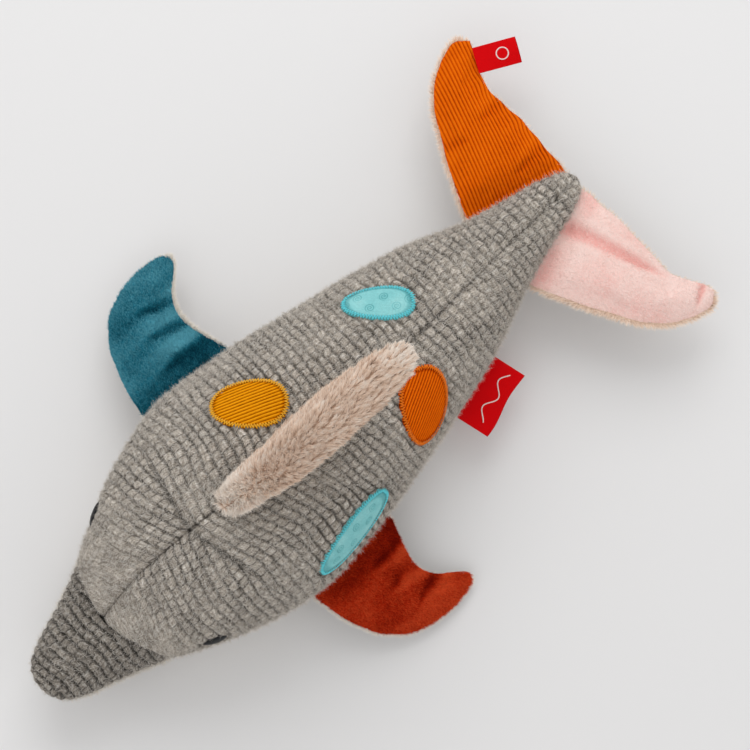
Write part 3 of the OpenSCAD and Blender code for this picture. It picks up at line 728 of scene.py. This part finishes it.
def inflate(lead, trail, half, rows=34, columns=22):
    """A fin sewn from two flat pieces and stuffed: the upper and lower layer, as grids of points in the fin's plane."""
    out, across, flat = pattern(lead, trail, rows, columns)
    along = np.where(out < 0.3, 0.35 + 0.65 * np.sin(np.minimum(out, 0.3) * math.radians(300)) ** 0.8,
                     1 - 0.78 * (np.maximum(out - 0.3, 0) / 0.7) ** 1.6)
    swell = half * along * np.sin(np.pi * across) ** 0.7
    upper = np.concatenate([flat, swell[..., None]], -1)
    border = (across == 0) | (across == 1) | (out == 1) | (out == 0)
    top = np.arange(rows * columns).reshape(rows, columns)
    low = top.copy()
    low[~border] = rows * columns + np.arange((~border).sum())
    start = upper * [1, 1, 0.30]
    start[border, 2] = 0
    points = np.concatenate([start.reshape(-1, 3), (start * [1, 1, -1])[~border]])
    faces = np.concatenate([grid_faces(rows, columns, flip=True), low.ravel()[grid_faces(rows, columns)]])
    scale = SIM_SCALE * MM
    me = bpy.data.meshes.new("sewing")
    me.from_pydata((points * scale).tolist(), [], faces.tolist())
    o = add_object("sewing", me)
    o.vertex_groups.new(name="pin").add(top[0].tolist(), 1.0, "REPLACE")
    cloth = o.modifiers.new("cloth", "CLOTH")
    for key, value in CLOTH_SETTINGS.items():
        setattr(cloth.settings, key, value)
    cloth.settings.effector_weights.gravity = 0
    cloth.collision_settings.use_collision = False
    cloth.point_cache.frame_start, cloth.point_cache.frame_end = 1, SIM_FRAMES
    scene = bpy.context.scene
    for f in range(1, SIM_FRAMES + 1):
        scene.frame_set(f)
    settled = o.evaluated_get(bpy.context.evaluated_depsgraph_get()).data
    points = np.array([v.co for v in settled.vertices]) / scale
    scene.frame_set(1)
    bpy.data.objects.remove(o)
    bpy.data.meshes.remove(me)
    layers = points[top], points[low]
    for layer in layers:
        for _ in range(2):
            around = layer[2:, 1:-1] + layer[:-2, 1:-1] + layer[1:-1, 2:] + layer[1:-1, :-2]
            layer[1:-1, 1:-1] = 0.4 * layer[1:-1, 1:-1] + 0.15 * around
    # The outline goes back to the pattern's size and the fullness to the CAD model's; the puckers stay.
    fullness = max(np.percentile(layers[0][..., 2], 97), 1e-3)
    middle = (layers[0] + layers[1]) / 2
    fits = [np.polyfit(middle[..., k].ravel(), flat[..., k].ravel(), 1) for k in (0, 1)]
    edge = np.minimum(np.minimum(across, 1 - across), 1 - out)
    held = np.maximum(1 - smooth(out, 0.0, 0.16), 0.93 * (1 - smooth(edge, 0.0, 0.30)))[..., None]
    root = 1 - smooth(out, 0.0, 0.2)
    for layer, sign in zip(layers, (1, -1)):
        fitted = np.stack([np.polyval(fit, layer[..., k]) for k, fit in enumerate(fits)], -1)
        layer[..., :2] = fitted * (1 - held) + flat * held
        layer[..., 2] = layer[..., 2] * half / fullness * (1 - root) + sign * swell * root
    return layers


def loaf(lead, trail, half, rows=34, columns=34):
    """A firmly stuffed fin that stays thick right up to its edges."""
    out, across, flat = pattern(lead, trail, rows, columns)
    swell = half * (0.74 + 0.30 * np.sin(np.pi * np.minimum(out * 1.1, 1)) - 0.10 * out) * hump(across, 8) ** 0.42
    upper = np.concatenate([flat, (swell * clamp(1 - out ** 14) ** 0.5)[..., None]], -1)
    return upper, upper * [1, 1, -1]


def rib_wave(c):
    """Corduroy's round ribs, one to each whole number."""
    return hump(c - np.floor(c), 1.7) ** 0.95


def along_line(a, o, start, end):
    """For points and a line: the share of the way along it, the distance from it, and whether they lie on its lit side."""
    (x, y), (dx, dy) = start, np.subtract(end, start)
    k = clamp(((a - x) * dx + (o - y) * dy) / (dx * dx + dy * dy))
    return k, np.hypot(a - x - k * dx, o - y - k * dy), (a - x) * dy - (o - y) * dx > 0


def velour_relief(seed, creases=(), depth=1.0, light_and_shade_bands=(), dark=0.42, light=0.42, shade=1.0):
    """Low dimples and creases of a soft stuffed fin, with painted shade in each crease and a painted highlight beside
    it on its lit side, and bands of painted highlight and shade. Each has a start, end, width, and depth or change of
    tone.
    """
    def relief(a, o):
        h = 0.5 * depth * rough(a / 13, o / 13, seed) + 0.10 * noise(a / 1.3, o / 1.3, seed + 4)
        tone = 0.5 + 0.16 * rough(a / 22, o / 12, seed + 2, 2) + 0.04 * noise(a / 2, o / 2, seed + 3)
        for start, end, width, deep in creases:
            k, r, lit = along_line(a, o, start, end)
            w = width * (0.35 + 0.65 * (1 - k))
            line = ridge(r, w) * (1 - smooth(k, 0.6, 1.0))
            h = h - deep * line
            # Painted shade in the crease, and a painted highlight beside it on its lit side.
            tone = tone - dark * line + light * ridge(r - 2.0 * w, w) * lit * (1 - k)
        for start, end, width, change in light_and_shade_bands:
            k, r, _ = along_line(a, o, start, end)
            # Each band adds a painted highlight where its change is positive and painted shade where it is negative.
            tone = tone + change * ridge(r + 0.5 * noise(a / 4, o / 4, seed + 6), width) * (1 - 0.6 * k)
        return h, clamp(tone) * shade
    return relief


def corduroy_relief(slant, pitch, seed, creases=()):
    base = velour_relief(seed, creases, 0.8, dark=0.26, light=0.16)

    def relief(a, o):
        h, shade = base(a, o)
        rib = rib_wave((a - slant * o + 0.25 * noise(a / 9, o / 20, seed + 8)) / pitch)
        # Painted shade in the grooves between ribs and a painted highlight on the crests, plus the base's crease shade
        # and highlights.
        tone = 0.10 + 0.72 * rib + 0.55 * (shade - 0.5) + 0.06 * noise(a / 0.8, o / 1.5, seed + 9)
        return h + 0.55 * (rib - 1), clamp(tone)
    return relief


class Fin:
    """One stuffed fin: its two layers, where it sits, and how it joins the body."""
    curve = dip = tuck = wavy = 0.0  # droop outwards, drop at the root, shortening outwards, ripple of the rear edge
    lips = 0.0, 0.0  # how far the lower layer shows past the upper one at the front and the rear edge
    fringe = 1.0, 1.0  # the share of the edge pile left at the front and the rear edge

    def __init__(self, name, layers, start, to, droop, side, bend=14.0, **shape):
        vars(self).update(shape)
        self.name, self.layers, self.side = name, layers, side
        self.axes, self.origin = plane_frame(start, to, droop, side)
        middle, reach = np.add(start, to) / 2 * [1, side, 1], self.axes[:, 1]
        self.blend = ("body", name, tuple((middle - reach * 0.5) * MM), tuple((middle + reach * bend) * MM))

    def outward(self, a, o):
        return self.axes @ np.array([a, o, 0.0])

    def skin(self, which, name, rows, columns, relief, material, slot, nodes, fill=0.6):
        """Makes the upper (0) or the lower (1) layer: gives its points, normals and tone."""
        sign = -1 if which else 1
        lead, trail = self.lips if which else (0.0, 0.0)
        layer = self.layers[which]
        hidden = [layer[0] - [0, ROOT_DEPTH * f, 0] for f in (1.0, 0.66, 0.33)]
        g = refine(np.concatenate([hidden, layer]), rows, columns)
        share, clear = np.linspace(0, 1, columns), smooth(g[..., 1], 0, 12)
        near_lead, near_trail = smooth(-share, -0.25, 0.0), smooth(share, 0.75, 1.0)
        g[..., 0] += (trail * near_trail - lead * near_lead) * clear
        g[..., 2] += 0.35 * (trail * near_trail + lead * near_lead) * clear
        uv = g[..., :2].copy()
        g[..., 0] += self.wavy * near_trail * clear * (np.sin(g[..., 1] / 4.6 + 0.6) + 0.6 * np.sin(g[..., 1] / 2.3))
        n = grid_normals(g)
        n *= np.sign(n[..., 2].mean()) * sign
        h, tone = relief(uv[..., 0], uv[..., 1])
        margin = np.minimum(np.minimum(share, 1 - share), 1 - np.linspace(0, 1, rows)[:, None])
        g = g + n * (h * smooth(margin, 0.0, 0.13))[..., None]
        g[..., 2] -= self.curve * (np.maximum(uv[..., 1], 0) / 70) ** 2 + self.dip * (1 - smooth(uv[..., 1], -1, 13))
        g[..., 1] -= self.tuck * np.maximum(g[..., 1] - 20, 0)
        q = place(g, self.axes, self.origin)
        n = grid_normals(q)
        n *= np.sign(np.mean(n @ self.axes[:, 2])) * sign
        o = grid_piece(name, q, material, uv, tone, flip=(self.side > 0) == (which == 0))
        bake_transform(o)
        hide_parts(*nodes)
        return q, n, tone

    def pile(self, name, q, n, count, length, width, comb, material, seed, slot, lift, curl, segments=3, where=None, shade=None):
        """Strands on a layer. comb, where and shade give each one's direction, whether it is there, and its change of tone."""
        rng = np.random.default_rng(seed)
        root, normal, at, _ = scatter(q, n, count, rng)
        keep = where(at, rng) if where else np.ones(count, bool)
        comb, length = comb(root, normal)[keep], rng.uniform(*length, count)[keep]
        tone = shade(root, at)[keep] if shade else 0
        root, normal = root[keep], normal[keep]
        o = strands(name, root - normal * 0.15, normal, comb, length, width, material, segments, lift, curl, seed + 1, 0.3, tone)
        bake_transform(o)


# ---- patches, stitches, eyes, labels
def disc(rows, columns, power=1.0):
    """A disc's grid: the angles of its rays, and the shares of the way out of its rings."""
    return np.linspace(0, 2 * np.pi, columns, endpoint=False), np.linspace(0, 1, rows)[:, None] ** power


def patch_piece(key, material, slot, relief):
    patch = PATCHES[key]
    x, angle, length, width = patch[:4]
    around, share = disc(60, 330, 0.85)
    a, b = (side * share for side in egg(patch, HEM, around))
    edge = (1 - share) * (min(length, width) / 2 + HEM)
    h, tone = relief(a, b)
    # The patch is darkened towards its edge, where it dips under the zigzag: painted shade.
    tone = tone * (0.50 + 0.50 * smooth(edge, 1.9, 2.9))
    p = on_skin(x, angle, a, b, 0.55 + h + 0.5 * (1 - fade(edge, 2.2)) - 0.9 * fade(edge, 0.5))
    o = grid_piece("patch_cloth_" + key, p, material, np.stack([a, b], -1), tone, flip=True, wrap=True, weld=0.002)
    on_body(o, slot, "patch_" + key)


def stitches(key, material, slot, seed):
    """A zigzag thread round a patch."""
    patch = PATCHES[key]
    fine = np.linspace(0, 2 * np.pi, 2000)
    outline = np.stack(egg(patch, 0, fine), -1)
    run = np.concatenate([[0], np.cumsum(np.linalg.norm(np.diff(outline, axis=0), axis=1))])
    count = 2 * int(run[-1] / STITCH_PITCH)
    rng = np.random.default_rng(seed)
    ends = []
    for k in range(count):
        at = np.interp((k + 0.25 * rng.uniform(-1, 1)) / count * run[-1], run, fine)
        grow = (HEM + 0.1 if k % 2 else -1.5) + 0.15 * rng.uniform(-1, 1)
        ends.append(np.array(egg(patch, grow, at)))
    path = []
    for k, (p, q) in enumerate(zip(ends, ends[1:] + ends[:1])):
        for f in (0.0, 0.33, 0.66):
            inner = f if k % 2 else 1 - f
            path.append([*(p + (q - p) * f), 0.70 + 0.40 * inner + 0.42 * math.sin(math.pi * f)])
    points = on_skin(*patch[:2], *np.array(path + path[:1]).T)
    on_body(tube("zigzag_" + key, [points], THREAD, material), slot, "stitching_" + key)


def eye(side):
    name = "left" if side < 0 else "right"
    around, share = disc(40, 160)
    a, b = share * EYE_SIZE / 2 * 1.02 * np.cos(around), side * share * EYE_SIZE / 2 * 0.92 * np.sin(around)
    threads = np.abs(np.sin(np.pi * (a + 0.12 * noise(3, b / 2, 5)) / 0.62)) ** 0.6
    height = -0.5 + 1.9 * np.sqrt(clamp(1 - share ** 2 * 0.97)) + 0.20 * threads * clamp((1 - share) * 8)
    p = on_skin(EYE_X, side * EYE_ANGLE, a, b, height)
    uv = np.stack([a, b], -1)
    o = grid_piece("eye_stitched_" + name, p, BLACK_THREAD, uv, threads, flip=side > 0, wrap=True, weld=0.002)
    on_body(o, "black_thread", "eye_" + name)


def folded_label(node, axes, origin, line, bow, wave=0.0):
    """A woven ribbon folded at its outer edge, with a line of thread on its upper side, in the label's own plane."""
    width, reach = LABELS[node]
    w, run = np.meshgrid(np.linspace(0, width, 41), np.linspace(-LABEL_HIDDEN, 2 * reach + LABEL_HIDDEN, 61))
    out = (reach - np.abs(run - reach)) * (1 + wave * np.sin(2 * np.pi * w / width + 0.6))

    def placed(a, r, up):
        up = up + (bow * np.sin(np.pi * clamp(a / width)) + 0.5 * np.sin(a / 5.5 + 1.0)) * clamp(r / reach)
        return place(np.stack([a, r, up], -1), axes, origin)

    q = placed(w, out, 0.42 * np.tanh((reach - run) / 0.8))
    ribbon = grid_piece(node + "_ribbon", q, RED, np.stack([w, run], -1), np.full(q.shape[:2], 0.7))
    motif = tube(node + "_ribbon_motif", [placed(*np.array(line).T, 0.55)], 0.38, WHITE_THREAD)
    for o in (ribbon, motif):
        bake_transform(o)
    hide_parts(node)


# ---- build: body
for side in (-1, 1):
    back_panel(side)
snout()
plush_ground("belly_plush", "belly_panel", 240, 130, 1.2, 36000, 400)
plush_ground("jaw_plush", "snout_lower", 70, 90, 0.8, 9000, 500)

AQUA_COILS = [(-11, 3), (-4, -4.5), (3, 3.5), (10, -3), (-17, -2), (16.5, 2)]


def coiled_patch(key):
    """Velour embossed with small coils."""
    width, turn = PATCHES[key][3:]

    def relief(a, b):
        p, q = rotated(a, b, -turn)
        h, tone = 0.18 * rough(a / 6, b / 6, 71), 0.55 + 0.18 * rough(a / 7, b / 7, 72)
        for x, y in AQUA_COILS:
            dx, dy = p - x, q - y * width / 22
            r = np.hypot(dx, dy)
            coil = np.abs((r / 1.25 - np.arctan2(dy, dx) / (2 * np.pi)) % 1 - 0.5) * 2
            mark = clamp(1 - coil * 1.6) * (r < 2.7)
            h, tone = h - 0.30 * mark, tone - 0.34 * mark
        return h, clamp(tone)
    return relief


def ribbed_patch(direction, seed):
    def relief(a, b):
        rib = rib_wave(rotated(a, b, -direction)[1] / PATCH_RIB + 0.1 * noise(a / 7, b / 7, seed))
        # Painted shade in the grooves between ribs and a painted highlight on the crests.
        tone = 0.88 * rib + 0.08 * noise(a / 0.8, b / 0.8, seed + 2)
        return 0.7 * (rib - 1) + 0.15 * rough(a / 8, b / 8, seed + 1), clamp(tone)
    return relief


sewn_on = {
    "mustard": ((MUSTARD, "mustard_corduroy", ribbed_patch(-22, 81)), (MUSTARD_THREAD, "mustard_thread", 91)),
    "orange": ((ORANGE, "orange_corduroy", ribbed_patch(24, 84)), (ORANGE_THREAD, "orange_thread", 92)),
    "aqua_right": ((AQUA, "aqua_velour", coiled_patch("aqua_right")), (AQUA_THREAD, "aqua_thread", 93)),
    "aqua_left": ((AQUA, "aqua_velour", coiled_patch("aqua_left")), (AQUA_THREAD, "aqua_thread", 94))}
for key, (cloth, _) in sewn_on.items():
    patch_piece(key, *cloth)
for key, (_, thread) in sewn_on.items():
    stitches(key, *thread)
eye(-1)
eye(1)

# ---- build: fins
pectoral = inflate(PECTORAL_LEAD, PECTORAL_TRAIL, 6.5)
fluke = inflate(FLUKE_LEAD, FLUKE_TRAIL, 6.0)
dorsal = loaf(DORSAL_LEAD, DORSAL_TRAIL, 10.8)
pectoral_root = [[x, half_width(x) + 3.6, seam_z(x)] for x in (-62, -3)]
fluke_root = [[x, half_width(min(x, 197)) + 2.6, 40] for x in (144, 204)]
dorsal_root = [[x - 3, -3.8, back_z(x) + 3.8] for x in (-62, 25)]

# Creases, and bands of painted highlight and shade, in each fin's own plane: start, end, width, and depth or change of
# tone.
teal_creases = [((54, 40), (30, 48), 4.0, 0.7), ((52, 27), (24, 31), 4.5, 1.0), ((56, 11), (16, 10), 5.0, 1.2)]
teal_light_and_shade = [((60, 4), (2, 5), 8.0, -0.32), ((48, 20), (20, 22), 4.0, 0.42), ((50, 39), (30, 42), 3.0, 0.22),
              ((52, 47), (20, 46), 4.0, -0.18), ((56, 60), (40, 66), 4.0, 0.10), ((2, 20), (14, 50), 3.5, 0.16)]
rust_creases = [((54, 44), (34, 46), 4.5, 1.2), ((52, 27), (30, 24), 5.0, 1.3), ((56, 10), (28, 8), 4.0, 0.9)]
rust_light_and_shade = [((60, 3), (4, 4), 7.0, -0.34), ((50, 43), (34, 36), 5.0, -0.26), ((40, 20), (22, 26), 5.0, -0.22),
              ((56, 24), (40, 30), 3.0, 0.26), ((20, 50), (50, 60), 3.5, 0.12)]
orange_creases = [((50, 47), (30, 42), 4.0, 1.0), ((57, 12), (34, 6), 4.0, 1.1), ((8, 40), (26, 36), 4.0, 0.6)]
pink_creases = [((38, 0), (46, 68), 4.8, 2.9), ((55, 79), (38, 84), 2.8, 1.7)]
pink_light_and_shade = [((8, 1), (24, 2), 8.0, -0.36), ((60, 2), (46, 2), 6.0, -0.18), ((50, 6), (52, 40), 4.0, -0.10),
              ((24, 70), (14, 40), 5.0, -0.10)]

# A nap's length, lift, and shift and spread of tone.
VELOUR_NAP, PINK_NAP = ((1.2, 2.4), 0.5, 0.48, 0.10), ((0.8, 1.5), 0.25, 0.28, 0.04)


def stuffed_fin(fin, relief, top, top_slot, low, low_slot, nap):
    """A side fin or a fluke: its upper cloth with a nap or ribs, and its lower cloth with pile, longer at the edge."""
    key, seed, plush = fin.name, len(fin.name), low is PLUSH
    nodes = [key + "_upper_skin", key + "_stuffing"]
    q, n, tone = fin.skin(0, key + "_top", 150, 120 if nap else 260, relief, top, top_slot, nodes)
    if nap:
        length, lift, dark, spread = nap
        fin.pile(key + "_nap", q, n, 34000, length, 0.40,
                 lambda root, normal: np.broadcast_to(fin.outward(0.25, 0.9) * 0.8, root.shape),
                 top, 700 + seed, top_slot, lift, 0.3, 1,
                 shade=lambda root, at: at(tone) - dark + spread * rough(root[:, 0] / 1.3, root[:, 1] / 1.3, 48, 2))
    q, n, _ = fin.skin(1, key + "_under", 110, 90, velour_relief(21), low, low_slot, [key + "_lower_skin"])
    centre = q.reshape(-1, 3).mean(0)
    across = np.linspace(-1, 1, q.shape[1]) * np.ones((len(q), 1))
    edge = np.maximum(np.abs(across), np.linspace(0, 1, len(q))[:, None] + 0.01)

    def spread_out(root, normal):
        return unit(root - centre) * 0.5 + fin.outward(0.35, 0.6) * 0.5

    def away(root, normal):
        flat = root - normal * ((root - centre) * normal).sum(1, keepdims=True) - centre
        return unit(flat) * 0.9 + fin.outward(0.1, 0.3) * 0.4

    def at_edge(at, rng):
        return (at(edge) > 0.955) & (rng.random(EDGE_STRANDS) < np.where(at(across) > 0, fin.fringe[1], fin.fringe[0]))

    fin.pile(key + "_under_pile", q, n, 26000, (2.0, 3.4) if plush else (2.6, 4.6), 0.32,
             spread_out, low, 720 + seed * 3, low_slot, 0.8, 0.28)
    fin.pile(key + "_edge_pile", q, n, EDGE_STRANDS, (2.2, 3.6) if plush else (2.8, 5.2), 0.28,
             away, low, 740 + seed * 3, low_slot, 0.25, 0.3, where=at_edge)


stuffed_fin(Fin("pectoral_right", pectoral, *pectoral_root, 10, 1, lips=(-1.2, 1.3), fringe=(0.0, 0.9), tuck=0.04),
            velour_relief(11, teal_creases, 0.8, teal_light_and_shade, 0.26, 0.34), TEAL, "teal_velour", PLUSH, "belly_plush", VELOUR_NAP)
stuffed_fin(Fin("pectoral_left", pectoral, *pectoral_root, 26, -1, lips=(0.2, -0.8), fringe=(0.45, 0.06), tuck=0.13),
            velour_relief(12, rust_creases, 0.8, rust_light_and_shade, 0.28, 0.34), RUST, "rust_velour", PLUSH, "belly_plush", VELOUR_NAP)
stuffed_fin(Fin("fluke_right", fluke, *fluke_root, 0, 1, curve=2.5, dip=2.4, lips=(0.4, -1.0), fringe=(0.6, 0.03), wavy=0.5),
            corduroy_relief(0.11, 2.1, 13, orange_creases), ORANGE, "orange_corduroy", FUR, "beige_fur", None)
stuffed_fin(Fin("fluke_left", fluke, *fluke_root, 0, -1, curve=4.0, dip=2.4, lips=(1.2, -0.6), fringe=(1.0, 0.05)),
            velour_relief(14, pink_creases, 0.45, pink_light_and_shade, 0.46, 0.10), PINK, "pink_velour", FUR, "beige_fur", PINK_NAP)

# The dorsal fin: tufted fur on both sides.
fin = Fin("dorsal_fin", dorsal, *dorsal_root, -102, 1, bend=16.0)


def tuft_middle(root):
    """The middle of the tuft that each strand belongs to, and the tuft's own three random numbers."""
    cell = np.floor(root / TUFT + 0.35 * rough(root[:, 0] / 9, root[:, 2] / 9, 46)[:, None]).astype(int)
    own = np.stack([hashed(*cell.T, k) for k in range(3)], -1)
    return (cell + 0.25 + 0.5 * own) * TUFT, own


def fur_comb(root, normal):
    middle, own = tuft_middle(root)
    w = rough(root[:, 0] / 12, root[:, 2] / 9 + root[:, 1] / 9, 41, 2)[:, None]
    return (fin.outward(1.0, 0.0) * (1.0 + 0.2 * w) + fin.outward(0.0, -1.0) * (0.30 - 0.35 * w)
            + (own - 0.5) * [0.2, 0.7, 0.7] + (middle - root) * [0.10, 0.30, 0.30])


def fur_shade(root, at):
    middle, own = tuft_middle(root)
    x, y, z = root.T
    pale = 0.30 * smooth(x, 36, 54) + 0.50 * (1 - smooth(x, -66, -30))
    gap = smooth(np.linalg.norm((root - middle) / TUFT, axis=1), 0.2, 0.8)
    # Strands towards the edge of their tuft are darker: painted shade in the gaps between tufts.
    return pale + 0.10 - 0.30 * gap + 0.22 * (own[:, 0] - 0.5) + 0.10 * rough(x / 6, z / 3 + y / 3, 45, 2)


for which, part in enumerate(("left", "right")):
    # The layer under the fur takes a quarter of its tone, as dark as the strands' roots: painted shade under the fur.
    q, n, _ = fin.skin(which, "dorsal_" + part, 120, 100, velour_relief(31 + which, depth=1.6, shade=0.25), FUR, "beige_fur",
                       [f"dorsal_fin_{part}_skin"] + ["dorsal_fin_stuffing"] * (part == "left"), fill=0.7)
    fin.pile("dorsal_fur_" + part, q, n, 66000, (3.0, 5.4), 0.36, fur_comb, FUR, 760 + which * 5, "beige_fur", 0.42, 0.13, 2,
             shade=fur_shade)

# ---- build: labels
axes, origin = plane_frame(*[[x, half_width(x) + 1.8, seam_z(x)] for x in (65, 105)], 14, -1)
wave = [[x, 8.5 + 2.6 * math.sin(x / 34 * 4 * math.pi)] for x in np.linspace(5, 36, 60)]
folded_label("side_label", axes, origin + axes @ [-1.0, 2.2, 0], wave, 1.2, 0.05)
axes, origin = plane_frame(*fluke_root, 0, 1)
origin, axes = place(np.array([55, 80.5, 0]), axes, origin), axes @ turned(2, math.radians(-105))
ring = [[7.5 + 3.4 * math.cos(k), 12.5 + 3.4 * math.sin(k)] for k in np.linspace(0, 2 * math.pi, 40)]
folded_label("fluke_label", axes, origin, ring, 0.8)

# ---- stage, lights and camera
paper = bpy.data.materials.new("paper_floor")
paper.use_nodes = True
paper.node_tree.nodes["Principled BSDF"].inputs["Base Color"].default_value = (0.80, 0.797, 0.80, 1)
paper.node_tree.nodes["Principled BSDF"].inputs["Roughness"].default_value = 0.9
floor = bpy.data.meshes.new("floor")
floor.from_pydata([(-4, -4, 0), (4, -4, 0), (4, 4, 0), (-4, 4, 0)], [], [(0, 1, 2, 3)])
floor.materials.append(paper)
add_object("floor", floor)

world = bpy.data.worlds.new("studio")
bpy.context.scene.world = world
world.use_nodes = True
world.node_tree.nodes["Background"].inputs["Color"].default_value = (1, 0.995, 0.99, 1)
world.node_tree.nodes["Background"].inputs["Strength"].default_value = 0.72


def soft_light(name, direction, distance, size, power):
    d = Vector(direction).normalized()
    lamp = bpy.data.lights.new(name, "AREA")
    lamp.shape, lamp.size, lamp.energy = "SQUARE", size, power
    o = add_object(name, lamp)
    o.location = Vector((0.03, 0, 0.05)) + d * distance
    o.rotation_euler = d.to_track_quat("Z", "Y").to_euler()


soft_light("key", (0.62, 0.66, 0.95), 1.7, 1.3, 11)
soft_light("fill", (-0.5, -0.2, 1.0), 2.0, 1.6, 2.5)

lens = bpy.data.cameras.new("camera")
lens.sensor_width, lens.lens, lens.clip_end = 36, 125.5, 20
camera = add_object("camera", lens)
azimuth, elevation, distance, target = math.radians(-43.83), math.radians(83.41), 1.4355, Vector((0.0458, -0.0030, 0.050))
back = Vector((math.sin(azimuth) * math.cos(elevation), -math.cos(azimuth) * math.cos(elevation), math.sin(elevation)))
camera.location = target + back * distance
camera.rotation_euler = back.to_track_quat("Z", "Y").to_euler()
bpy.context.scene.camera = camera
bpy.context.scene.view_settings.view_transform = "Standard"
